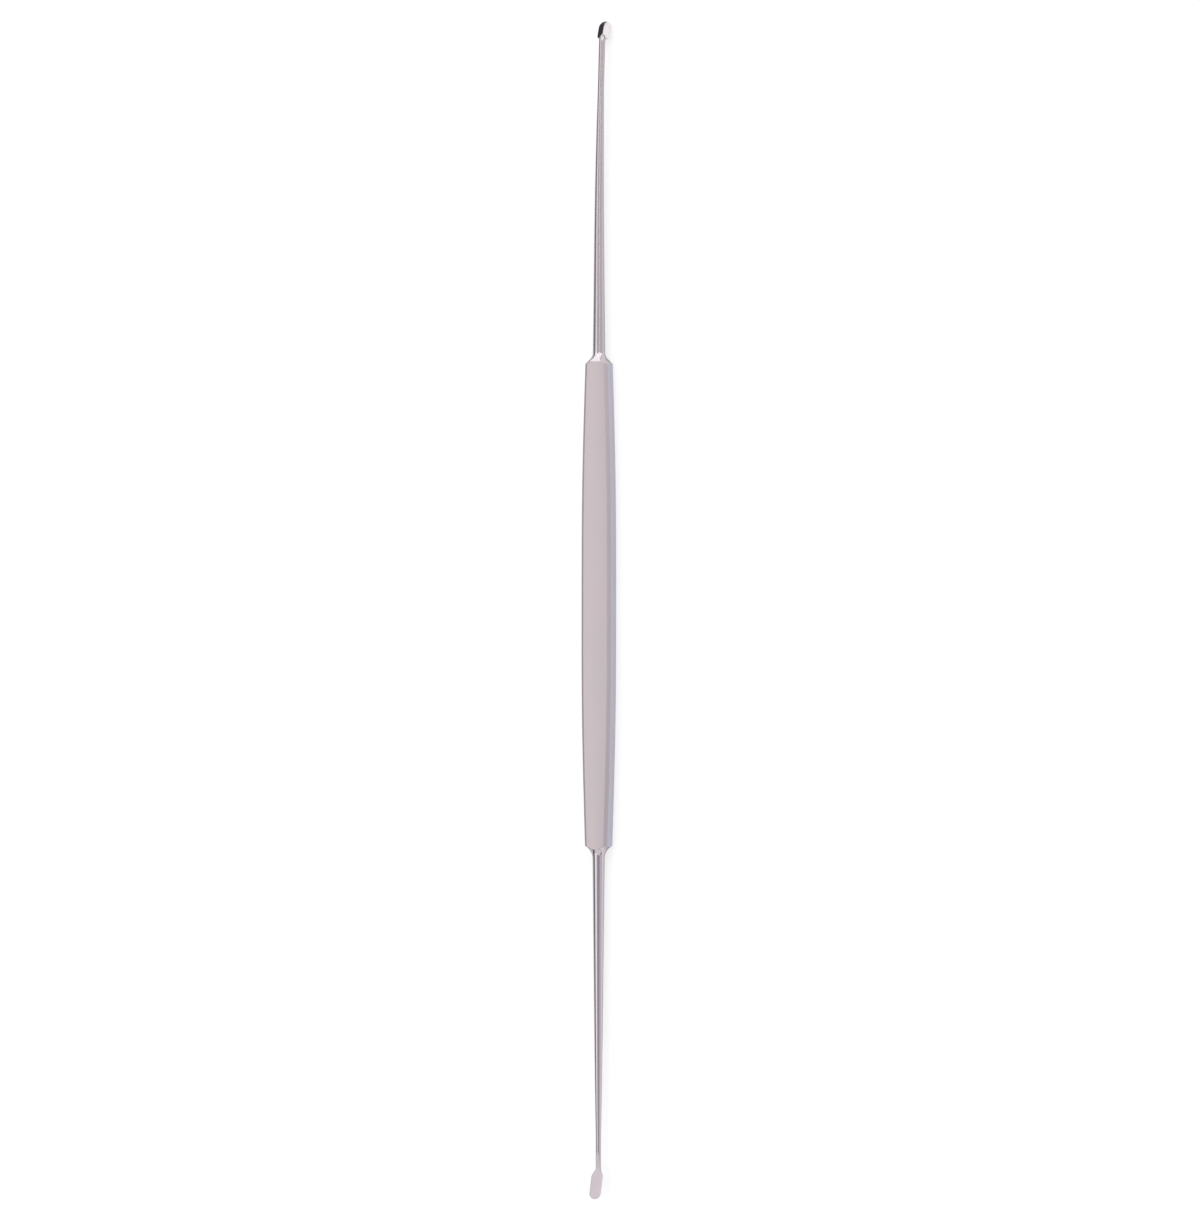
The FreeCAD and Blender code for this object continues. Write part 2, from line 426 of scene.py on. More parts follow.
@dataclass(frozen=True)
class HandleBar:
    """The handle: a flattened octagonal bar that swells towards its middle.

    Attributes:
        length: length between the corners at the two ends.
        thickness: distance between the broad faces.
        edge_cut: how much each 45 degree edge cut takes off both of its faces.
        edge_round: radius of the rounding along every edge.
        width_middle: width midway along the bar.
        short_taper: place of a station, from the short blade's end of the bar, and its width.
        long_taper: the same from the long blade's end.
        neck_width: width that the bar's curves run to at both necks.
        face_cove_length: length of the broad faces' own cove at the short blade's neck.
        crown: how much lower a broad face is at its edges, which dims the light there.
        crease_blend: difference in radius within which a turned form and a face are blended.
        side_points: points of the section from the middle of a side face to its edge.
        round_points: points on each rounded edge.
        face_points: points from a broad face's edge to its middle.
        side_columns: faces of the mesh with the side's painted reflection, to either side of its
            middle.
    """

    length: float = 77.8
    thickness: float = 3.0
    edge_cut: float = 0.49
    edge_round: float = 0.07
    width_middle: float = 5.23
    short_taper: tuple[float, float] = (19.6, 5.03)
    long_taper: tuple[float, float] = (22.7, 5.11)
    neck_width: float = 3.82
    face_cove_length: float = 1.5
    crown: float = 0.05
    crease_blend: float = 0.05
    side_points: int = 4
    round_points: int = 5
    face_points: int = 16
    side_columns: int = 5

    def corner_reach(self, width: float) -> float:
        """Distance from the axis to the bar's outermost corner at a width."""
        return math.hypot(width / 2, self.thickness / 2 - self.edge_cut)

    def half_widths(self, along: np.ndarray, low: float, high: float) -> np.ndarray:
        """Half the bar's width at places along the knife.

        The widths at five stations are joined by one smooth curve, a natural cubic spline.

        Args:
            along: places along the knife.
            low: place of the long blade's neck.
            high: place of the short blade's neck.

        Returns:
            Half widths in millimetres.
        """
        half = self.length / 2
        long_place, long_width = self.long_taper
        short_place, short_width = self.short_taper
        places = np.array([low, long_place - half, 0, half - short_place, high])
        widths = [self.neck_width, long_width, self.width_middle, short_width, self.neck_width]
        return natural_spline(places, np.array(widths) / 2, along)

    def quadrant(self, half_width: np.ndarray) -> tuple[np.ndarray, np.ndarray]:
        """A quarter of the section, from the middle of the side face to that of the broad face.

        Each end of the edge cut is rounded by an arc of 45 degrees. The broad face's height falls
        with the square of the distance from its middle.

        Args:
            half_width: half width for each row.

        Returns:
            Across and up coordinates, with one row of points for each half width.
        """
        half_thick = self.thickness / 2
        cut_turn = math.pi / 4
        tangent = self.edge_round * math.tan(cut_turn / 2)
        side_edge = half_thick - self.edge_cut - tangent
        wide = half_width[:, None]
        turn = np.linspace(0, cut_turn, self.round_points)
        side_up = np.linspace(0, side_edge, self.side_points, endpoint=False)
        first_x = wide - self.edge_round + self.edge_round * np.cos(turn)
        first_z = side_edge + self.edge_round * np.sin(turn)
        second_x = wide - self.edge_cut - tangent + self.edge_round * np.cos(turn + cut_turn)
        second_z = half_thick - self.edge_round + self.edge_round * np.sin(turn + cut_turn)
        cut_x = (first_x[:, -1:] + second_x[:, :1]) / 2
        cut_z = (first_z[-1:] + second_z[:1]) / 2
        top_share = np.linspace(1, 0, self.face_points + 1)[1:]
        top_x = second_x[:, -1:] * top_share
        across = np.hstack([wide + 0 * side_up, first_x, cut_x, second_x, top_x])
        sides = np.concatenate([side_up, first_z, cut_z, second_z]) * (1 - self.crown / half_thick)
        up = np.concatenate([sides, half_thick - self.crown * top_share**2])
        return across, np.broadcast_to(up, across.shape)

    def face_height(self, along: np.ndarray, neck_diameter: float) -> np.ndarray:
        """Height left on the broad faces by their own cove, at distances from the neck.

        The cove is one arc that leaves the neck along the shaft and meets the face: its radius is
        the run over the sine of its turn, and half that turn has the rise over the run as its
        tangent.

        Args:
            along: distances from the neck towards the handle.
            neck_diameter: diameter at the neck.

        Returns:
            Heights above the knife's axis in millimetres.
        """
        rise = (self.thickness - neck_diameter) / 2
        turn = 2 * math.atan(rise / self.face_cove_length)
        radius = self.face_cove_length / math.sin(turn)
        sag = radius - np.sqrt(radius**2 - np.clip(along, 0, self.face_cove_length) ** 2)
        past = np.maximum(along - self.face_cove_length, 0)
        return neck_diameter / 2 + sag + past * math.tan(turn)


@dataclass(frozen=True)
class Blade:
    """A small blade: a tongue with a full round end, flat below and ground to a ridge above.

    Attributes:
        length: length from the bend's corner to the tip.
        width: full width of the tongue.
        thickness: height of the ridge above the flat side.
        tilt: lean of the blade towards its flat side, in degrees.
        drop: depth of the flat side below the shaft's axis.
        shoulder_length: run over which the root would widen to the full width.
        shoulder_radius: reach of the rounding to either side of the shoulder's outer corner.
        core_length: distance from the bend's corner to the end of the round core.
        flat_length: distance from the bend's corner to the start of the flat on the shaft.
        edge_land: height of the ridge side at the edge.
        honed_width: width of the honed band on the ridge side.
        honed_rise: height of the ridge side at the inner edge of that band.
        flat_honed_width: width of the honed band on the flat side.
        flat_honed_rise: height of the flat side at the edge.
        core_tip: radius of the core where it ends.
    """

    length: float
    width: float
    thickness: float
    tilt: float
    drop: float
    shoulder_length: float
    shoulder_radius: float
    core_length: float
    flat_length: float
    edge_land: float = 0.04
    honed_width: float = 0.17
    honed_rise: float = 0.11
    flat_honed_width: float = 0.28
    flat_honed_rise: float = 0.02
    core_tip: float = 0.08

    def half_width(self, along: np.ndarray, shaft_radius: float) -> np.ndarray:
        """Half the tongue's width at distances from the bend.

        The root is as wide as the flat on the shaft. The shoulder runs out in a straight line,
        rounded where it meets the side, and the end is a half circle.

        Args:
            along: distances from the bend's corner along the blade.
            shaft_radius: radius of the shaft at the bend.

        Returns:
            Half widths in millimetres.
        """
        root = math.sqrt(shaft_radius**2 - self.drop**2)
        half = self.width / 2
        slope = (half - root) / self.shoulder_length
        shoulder = root + np.maximum(along, 0) * slope
        side = smooth_min(shoulder, np.full_like(along, half), self.shoulder_radius * slope)
        past = np.clip((along - self.length + half) / half, 0, 1)
        return np.minimum(side, half * np.sqrt(1 - past**2))

    def off_middle(self, across: np.ndarray, along: np.ndarray) -> np.ndarray:
        """Distance from the blade's middle line, or past it from the centre of the round end."""
        return np.hypot(across, np.maximum(along - self.length + self.width / 2, 0))

    def ridge(self, across: np.ndarray, along: np.ndarray) -> np.ndarray:
        """Height of the ridge side above the flat side.

        Both the main grind and the honed band fall evenly with the distance from the middle line,
        and the lower of the two is what is left.

        Args:
            across: distances from the middle line.
            along: distances from the bend's corner, of the same shape.

        Returns:
            Heights in millimetres.
        """
        half = self.width / 2
        off = self.off_middle(across, along)
        ground_slope = (self.thickness - self.honed_rise) / (half - self.honed_width)
        honed_slope = (self.honed_rise - self.edge_land) / self.honed_width
        ground = self.thickness - off * ground_slope
        honed = self.edge_land + (half - off) * honed_slope
        return np.minimum(ground, honed)

    def flat_rise(self, across: np.ndarray, along: np.ndarray) -> np.ndarray:
        """Height of the honed band on the flat side above the flat.

        It rises evenly with the distance past the inner edge of the band.

        Args:
            across: distances from the middle line.
            along: distances from the bend's corner, of the same shape.

        Returns:
            Heights in millimetres.
        """
        inner_edge = self.width / 2 - self.flat_honed_width
        band = np.maximum(self.off_middle(across, along) - inner_edge, 0)
        return band * self.flat_honed_rise / self.flat_honed_width


@dataclass(frozen=True)
class Arm:
    """One shaft with its blade, worked out along +Y from the neck, flat side of the blade down.

    Attributes:
        neck_diameter: diameter at the neck.
        cove_radius: radius of the cove between the neck and the handle.
        cove_angle: slope of that cove's cone against the axis, in degrees.
        length: length from the neck to the bend's corner.
        taper: length of the taper from the neck.
        diameter: diameter past the taper.
        swell: most that the taper's diameter is fuller than a straight taper.
        bow: sideways offset of the bend's corner.
        bow_start: distance from the neck at which the bow starts.
        blade: the blade at its end.
        bend_radius: radius of the bend in the centre line.
        shaft_rows: rows of the mesh up to the ground flat.
        run_rows: rows from there to the bend.
        bend_rows: rows in the bend.
        straight_rows: rows from the bend to the round end's centre.
        round_rows: rows on the round end.
    """

    neck_diameter: float
    cove_radius: float
    cove_angle: float
    length: float
    taper: float
    diameter: float
    swell: float
    bow: float
    bow_start: float
    blade: Blade
    bend_radius: float = 2.0
    shaft_rows: int = 70
    run_rows: int = 50
    bend_rows: int = 12
    straight_rows: int = 100
    round_rows: int = 50

    @property
    def tilt(self) -> float:
        """The blade's tilt in radians, which is also the turn of the bend."""
        return math.radians(self.blade.tilt)

    @property
    def tangent(self) -> float:
        """Distance from the bend's corner to where the bend starts or ends."""
        return self.bend_radius * math.tan(self.tilt / 2)

    @property
    def blade_rows(self) -> int:
        """Number of rows past the bend."""
        return self.straight_rows + self.round_rows

    def cove(self, reach_at_bar: float) -> Cove:
        """The cove that joins this arm to a bar with corners at that distance from the axis."""
        return Cove(self.neck_diameter, self.cove_radius, self.cove_angle, reach_at_bar)

    def shaft_radius(self, distance: np.ndarray) -> np.ndarray:
        """Radius of the round shaft at distances from the neck.

        The taper is straight plus a swell that goes with the share squared times what is left,
        which is largest at two thirds of the taper.

        Args:
            distance: distances along the shaft.

        Returns:
            Radii in millimetres.
        """
        share = np.clip(distance / self.taper, 0, 1)
        straight = self.neck_diameter - (self.neck_diameter - self.diameter) * share
        peak = (2 / 3) ** 2 / 3
        return (straight + self.swell * share**2 * (1 - share) / peak) / 2

    def rows(self) -> tuple[np.ndarray, np.ndarray, np.ndarray]:
        """Places of the sections along the centre line.

        The last section stops just short of the tip, where it would have no size.

        Returns:
            For each row the distance along the shaft, the angle turned in the bend in radians, and
            the distance along the blade past the end of the bend.
        """
        flat_start, bend_start = self.length - self.blade.flat_length, self.length - self.tangent
        plain = np.linspace(0, flat_start, self.shaft_rows, endpoint=False)
        shaft = np.concatenate([plain, np.linspace(flat_start, bend_start, self.run_rows)])
        bend = np.linspace(0, self.tilt, self.bend_rows + 1)[1:]
        round_centre = self.blade.length - self.blade.width / 2
        straight = np.linspace(self.tangent, round_centre, self.straight_rows + 1)[1:]
        ends = np.sin(np.linspace(0, math.pi / 2, self.round_rows + 2))[1:-1]
        blade = np.concatenate([straight, round_centre + ends * self.blade.width / 2])
        bend_end = len(shaft) + len(bend)
        count = bend_end + len(blade)
        distance = np.full(count, bend_start)
        distance[: len(shaft)] = shaft
        turned = np.full(count, self.tilt)
        turned[: len(shaft)] = 0
        turned[len(shaft) : bend_end] = bend
        past = np.zeros(count)
        past[bend_end:] = blade - self.tangent
        return distance, turned, past

    def side_view(
        self, distance: np.ndarray, turned: np.ndarray, past: np.ndarray
    ) -> tuple[np.ndarray, np.ndarray]:
        """Places of the sections seen from the side: the straight shaft, the bend's arc, the blade.

        Args:
            distance: distances along the shaft.
            turned: angles turned in the bend, 0 for rows on the shaft.
            past: distances along the blade past the end of the bend.

        Returns:
            Places along the shaft's line from the bend's corner, and depths below that line.
        """
        along = self.bend_radius * np.sin(turned) - self.tangent + past * math.cos(self.tilt)
        down = self.bend_radius * (1 - np.cos(turned)) + past * math.sin(self.tilt)
        on_shaft = turned == 0
        return np.where(on_shaft, distance - self.length, along), np.where(on_shaft, 0, down)

    def core_radius(self, distance: np.ndarray, past: np.ndarray) -> np.ndarray:
        """Radius of the round core: the shaft's, then an even run out to its tip on the blade.

        Args:
            distance: distances along the shaft.
            past: distances along the blade past the end of the bend.

        Returns:
            Radii in millimetres, 0 past the core.
        """
        run = self.blade.core_length - self.tangent
        share = np.clip(past / run, 0, 1)
        core = self.shaft_radius(distance) * (1 - share) + self.blade.core_tip * share
        return np.where(past > run, 0, core)

    def surface(self, neck_angles: np.ndarray) -> tuple[np.ndarray, np.ndarray]:
        """The arm's surface as a grid of points, one row for each place along it.

        Each section is a height above and below the centre line as a function of the distance
        across. The round shaft and its core give half circles, the tongue a ridge above and a flat
        below. The upper surface is the higher of the two, the lower surface the lower of the two,
        cut off by the ground flat.

        Args:
            neck_angles: angles of the handle's columns at the neck, in radians.

        Returns:
            An array of rows, columns and coordinates, in millimetres, and the points that are on
            the flat side.
        """
        blade = self.blade
        distance, turned, past = self.rows()
        along, down = self.side_view(distance, turned, past)
        on_blade = along * math.cos(self.tilt) + down * math.sin(self.tilt)
        above_blade = along * math.sin(self.tilt) - down * math.cos(self.tilt)

        core = self.core_radius(distance, past)
        tongue = np.where(on_blade > 0, blade.half_width(on_blade, self.diameter / 2), 0)
        even = np.linspace(0, 2 * math.pi, len(neck_angles), endpoint=False)
        share = np.clip(distance / self.taper, 0, 1)[:, None]
        angles = neck_angles * (1 - share) + even * share
        across = np.maximum(core, tongue)[:, None] * np.cos(angles)
        upper = np.sin(angles) >= -ROUNDING

        core, tongue, beside = core[:, None], tongue[:, None], np.abs(across)
        round_up = np.sqrt(np.maximum(core**2 - across**2, 0))
        in_core = (beside <= core * (1 + ROUNDING)) & (core > 0)
        in_tongue = (beside <= tongue * (1 + ROUNDING)) & (on_blade[:, None] > 0)
        flat = np.broadcast_to((-blade.drop - above_blade)[:, None], across.shape)
        reached = np.broadcast_to(on_blade[:, None], across.shape)
        ridge = flat + blade.ridge(across, reached)
        honed = flat + blade.flat_rise(across, reached)
        top = np.maximum(
            np.where(in_core, round_up, -BEYOND), np.where(in_tongue, ridge, -BEYOND)
        )
        bottom = np.minimum(
            np.where(in_core, -round_up, BEYOND), np.where(in_tongue, honed, BEYOND)
        )
        level = self.flat_level(along, down, turned)[:, None]
        on_flat = ~upper & ((bottom < level) | (on_blade[:, None] > 0))
        height = np.where(upper, top, np.minimum(np.maximum(bottom, level), top))
        return self.bowed(distance, turned, along, down, across, height), on_flat

    def flat_level(self, along: np.ndarray, down: np.ndarray, turned: np.ndarray) -> np.ndarray:
        """Height of the ground flat over the centre line, measured square to it.

        The flat is a long run from the shaft's lower side to the blade, then the blade's own plane.
        Each height is where the section's upright line meets one of the two, and the lower counts.

        Args:
            along: places of the sections along the shaft's line, from the bend's corner.
            down: depths of the sections below the shaft's line.
            turned: angles turned in the bend.

        Returns:
            Heights in millimetres, negative below the centre line.
        """
        start = np.array([-self.blade.flat_length, -self.diameter / 2])
        square = np.array([math.sin(self.tilt), math.cos(self.tilt)])
        end = -self.blade.drop * square
        run = end - start
        up = np.array([-run[1], run[0]]) / np.hypot(*run)
        upright = np.stack([np.sin(turned), np.cos(turned)])
        gap_y, gap_z = start[0] - along, start[1] + down
        on_run = (gap_y * up[0] + gap_z * up[1]) / (up @ upright)
        end_y, end_z = end[0] - along, end[1] + down
        on_plane = (end_y * square[0] + end_z * square[1]) / (square @ upright)
        return np.minimum(on_run, on_plane)

    def bowed(
        self,
        distance: np.ndarray,
        turned: np.ndarray,
        along: np.ndarray,
        down: np.ndarray,
        across: np.ndarray,
        height: np.ndarray,
    ) -> np.ndarray:
        """Puts the sections' points on the bowed centre line.

        The bow grows with the square of the distance past its start. Rows in the bend and the blade
        all take the corner of the bend as their place, so the blade keeps its form.

        Args:
            distance: distances along the shaft.
            turned: angles turned in the bend, 0 for rows on the shaft.
            along: places along the shaft's line from the bend's corner.
            down: depths below the shaft's line.
            across: distances of the points from the middle line.
            height: heights of the points, square to the centre line.

        Returns:
            An array of rows, columns and coordinates, in millimetres.
        """
        on_shaft = turned == 0
        centre_y = np.where(on_shaft, distance, self.length)[:, None]
        run = self.length - self.bow_start
        share = np.maximum(centre_y - self.bow_start, 0) / run
        yaw, centre_x = np.arctan(2 * self.bow * share / run), self.bow * share**2
        local_y = np.where(on_shaft, 0, along)[:, None] + height * np.sin(turned)[:, None]
        x = centre_x + across * np.cos(yaw) + local_y * np.sin(yaw)
        y = centre_y - across * np.sin(yaw) + local_y * np.cos(yaw)
        z = height * np.cos(turned)[:, None] - down[:, None]
        return np.stack([x, y, z], axis=2)


SHORT_ARM = Arm(
    neck_diameter=1.95,
    cove_radius=1.6,
    cove_angle=46.0,
    length=50.45,
    taper=42.3,
    diameter=1.0,
    swell=0.05,
    bow=0.51,
    bow_start=16.5,
    blade=Blade(
        length=3.2,
        width=2.14,
        thickness=0.46,
        tilt=18.0,
        drop=0.3,
        shoulder_length=0.45,
        shoulder_radius=0.22,
        core_length=1.1,
        flat_length=2.0,
    ),
)
LONG_ARM = Arm(
    neck_diameter=1.94,
    cove_radius=2.25,
    cove_angle=56.0,
    length=50.1,
    taper=44.7,
    diameter=0.86,
    swell=0.09,
    bow=0.0,
    bow_start=16.5,
    blade=Blade(
        length=5.02,
        width=2.04,
        thickness=0.45,
        tilt=15.5,
        drop=0.2,
        shoulder_length=1.15,
        shoulder_radius=0.3,
        core_length=2.2,
        flat_length=3.0,
    ),
)


@dataclass
class FlapKnife:
    """The whole knife: handle, coves, shafts and blades in one closed surface.

    Attributes:
        bar: the handle.
        short_arm: the shaft with the short blade, towards +Y.
        long_arm: the shaft with the long blade, towards -Y and turned over.
        cove_rows: rows of the mesh from each neck to just past the bar's corners.
        bar_rows: rows along the rest of the bar.
        past_corner: how far the close rows of a cove go on past the bar's corners.
        least_height: least height that is divided by, for points level with the axis.
        sharp_angle: angle in degrees from which an edge between two faces shows as a crease.
    """

    bar: HandleBar = field(default_factory=HandleBar)
    short_arm: Arm = SHORT_ARM
    long_arm: Arm = LONG_ARM
    cove_rows: int = 90
    bar_rows: int = 60
    past_corner: float = 0.6
    least_height: float = 1e-6
    sharp_angle: float = 14.0

    def __post_init__(self) -> None:
        """Works out the coves and the places of the two necks."""
        reach = self.bar.corner_reach(self.bar.neck_width)
        self.short_cove = self.short_arm.cove(reach)
        self.long_cove = self.long_arm.cove(reach)
        self.short_neck = self.bar.length / 2 + self.short_cove.length
        self.long_neck = -self.bar.length / 2 - self.long_cove.length

    def handle_surface(self) -> tuple[np.ndarray, np.ndarray]:
        """The handle with its turned ends, from the long blade's neck to the short blade's.

        Each section is the octagon, with every point drawn in to the turned envelope where it lies
        further from the axis, and to the broad faces' own cove at the short blade's end. The bar's
        own faces are where a point is drawn in by less than a quarter of the blend, which is the
        most that blending alone can do.

        Returns:
            An array of rows, columns and coordinates, in millimetres, with the axis at height 0,
            and the points that are on the bar's own faces.
        """
        blend = self.bar.crease_blend
        low_end = self.long_neck + self.long_cove.length + self.past_corner
        high_end = self.short_neck - self.short_cove.length - self.past_corner
        places = np.concatenate(
            [
                np.linspace(self.long_neck, low_end, self.cove_rows)[:-1],
                np.linspace(low_end, high_end, self.bar_rows)[:-1],
                np.linspace(high_end, self.short_neck, self.cove_rows),
            ]
        )
        half_widths = self.bar.half_widths(places, self.long_neck, self.short_neck)
        across, up = self.bar.quadrant(half_widths)
        across = np.hstack([across, -across[:, -2::-1], -across[:, 1:], across[:, -2:0:-1]])
        up = np.hstack([up, up[:, -2::-1], -up[:, 1:], -up[:, -2:0:-1]])
        turned = np.minimum(
            self.long_cove.envelope(places - self.long_neck),
            self.short_cove.envelope(self.short_neck - places),
        )[:, None]
        reach = np.hypot(across, up)
        inset = smooth_min(reach, turned + 0 * reach, blend) / reach
        inset = np.where(turned < self.bar.thickness / 2 - blend, turned / reach, inset)
        ceiling = self.bar.face_height(self.short_neck - places, self.short_arm.neck_diameter)
        height = np.maximum(np.abs(up * inset), self.least_height)
        inset = inset * smooth_min(height, ceiling[:, None] + 0 * height, blend) / height
        along = np.broadcast_to(places[:, None], across.shape)
        on_bar = (1 - inset) * reach < blend / 4
        return np.stack([across * inset, along, up * inset], axis=2), on_bar

    def surface(self) -> tuple[np.ndarray, np.ndarray]:
        """All rows of the knife from the long blade's tip to the short blade's tip.

        The long arm is turned half round the X axis, and its rows and columns run backwards.

        Returns:
            The points as rows, columns and coordinates in metres, and each point's finish number.
        """
        handle, on_bar = self.handle_surface()
        ends = [np.unwrap(np.arctan2(row[:, 2], row[:, 0])) for row in (handle[-1], handle[0])]
        short, short_flat = self.short_arm.surface(ends[0])
        long, long_flat = self.long_arm.surface(ends[1])
        columns = -np.arange(long.shape[1]) % long.shape[1]
        long = (long * np.array([1, -1, -1]))[::-1, columns] + np.array([0, self.long_neck, 0])
        long_flat = long_flat[::-1, columns]
        short = short + np.array([0, self.short_neck, 0])
        points = np.concatenate([long[:-1], handle, short[1:]])
        points = points + np.array([0, 0, self.bar.thickness / 2])
        finish = np.full(points.shape[:2], Finish.TURNED.value)
        finish[: len(long) + self.cove_rows] = Finish.POLISHED.value
        finish[-len(short) - self.cove_rows : -len(short)] = Finish.POLISHED.value
        finish[: self.long_arm.blade_rows] = Finish.GROUND.value
        finish[-self.short_arm.blade_rows :] = Finish.GROUND.value
        finish[len(long) - 1 : len(long) - 1 + len(handle)][on_bar] = Finish.SATIN.value
        finish[: len(long)][long_flat] = Finish.STONED.value
        finish[-len(short) :][short_flat] = Finish.STONED.value
        return np.clip(points * MM, *np.array(CAD_BOX)), finish

    def faces(self, rows: int, columns: int) -> list[list[int]]:
        """Corners of all the faces: a grid of quads, and a fan of triangles round each tip.

        A point's number is its row times the number of columns, plus its column. The tips of the
        long and the short blade come after all of them.

        Args:
            rows: number of rows of points.
            columns: number of points in a row.

        Returns:
            Point numbers of each face, in the order that makes it point outwards.
        """
        row, column = np.meshgrid(np.arange(rows - 1), np.arange(columns), indexing="ij")
        ahead = (column + 1) % columns
        here, beyond = row * columns, (row + 1) * columns
        quads = np.stack([here + column, beyond + column, beyond + ahead, here + ahead], axis=2)
        around = np.arange(columns)
        following = (around + 1) % columns
        last_row = (rows - 1) * columns
        long_tip = np.full(columns, rows * columns)
        first = np.stack([long_tip, around, following], axis=1)
        last = np.stack([long_tip + 1, last_row + following, last_row + around], axis=1)
        return quads.reshape(-1, 4).tolist() + first.tolist() + last.tolist()

    def face_finishes(self, finish: np.ndarray) -> np.ndarray:
        """Finish number of each face, in the order of the faces.

        A face takes the lowest number of its four corners. The bar's faces near the middle of its
        sides, where the cosine of the column's share of a turn is largest, take the satin with the
        side's painted reflection.

        Args:
            finish: finish number of each point, as rows and columns.

        Returns:
            One finish number for each face.
        """
        columns = finish.shape[1]
        following = np.roll(finish, -1, 1)
        body = np.min([finish[:-1], finish[1:], following[:-1], following[1:]], axis=0)
        near_side = np.cos(2 * math.pi * (np.arange(columns) + 0.5) / columns)
        on_side = np.abs(near_side) > math.cos(2 * math.pi * self.bar.side_columns / columns)
        # The side faces take a paler, bluer copy of the satin: a painted reflection of cool light.
        body = np.where((body == Finish.SATIN.value) & on_side, Finish.SIDE.value, body)
        return np.concatenate([body.ravel(), finish[0], finish[-1]]).astype(np.int32)

    def build(self) -> bpy.types.Object:
        """Makes the knife's mesh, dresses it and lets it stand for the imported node.

        Returns:
            The finished piece.
        """
        points, finish = self.surface()
        tips = np.stack([points[0].mean(0), points[-1].mean(0)])
        mesh = bpy.data.meshes.new("flap_knife_steel")
        corners = np.vstack([points.reshape(-1, 3), tips])
        mesh.from_pydata(corners.tolist(), [], self.faces(*finish.shape))
        for kind in Finish:
            mesh.materials.append(STEELS[kind].material())
        mesh.polygons.foreach_set("material_index", self.face_finishes(finish))
        mesh.polygons.foreach_set("use_smooth", np.ones(len(mesh.polygons), bool))
        mesh.update()
        mesh.set_sharp_from_angle(angle=math.radians(self.sharp_angle))
        piece = bpy.data.objects.new("flap_knife_steel", mesh)
        bpy.context.scene.collection.objects.link(piece)
        weighted = piece.modifiers.new("even_faces", "WEIGHTED_NORMAL")
        weighted.keep_sharp = True
        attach(piece, "root")
        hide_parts(NODE)
        LOG.info("%s: %d faces", piece.name, len(mesh.polygons))
        return piece


@dataclass(frozen=True)
class SoftBox:
    """A soft box that faces the knife, given by where its light comes from.

    Its height runs upwards, as far as its tilt allows, and its width level.

    Attributes:
        name: name of the lamp.
        towards: direction from the knife to the box.
        width: width of its face in metres.
        height: height of its face in metres.
        level: brightness of its face, where 1 is white.
        tint: sRGB colour of its light.
        distance: distance from the knife in metres.
    """

    name: str
    towards: tuple[float, float, float]
    width: float
    height: float
    level: float
    tint: str = "FFFFFF"
    distance: float = 1.6

    def build(self) -> None:
        """Hangs the box. Its power is its brightness times pi and the area of its face."""
        data = bpy.data.lights.new(self.name, "AREA")
        data.shape = "RECTANGLE"
        data.size, data.size_y = self.width, self.height
        data.energy = self.level * math.pi * self.width * self.height
        data.color = linear(self.tint)[:3]
        lamp = bpy.data.objects.new(self.name, data)
        direction = Vector(self.towards).normalized()
        lamp.location = direction * self.distance
        lamp.rotation_mode = "QUATERNION"
        lamp.rotation_quaternion = direction.to_track_quat("Z", "Y")
        bpy.context.scene.collection.objects.link(lamp)
        LOG.info("%s: hung", self.name)


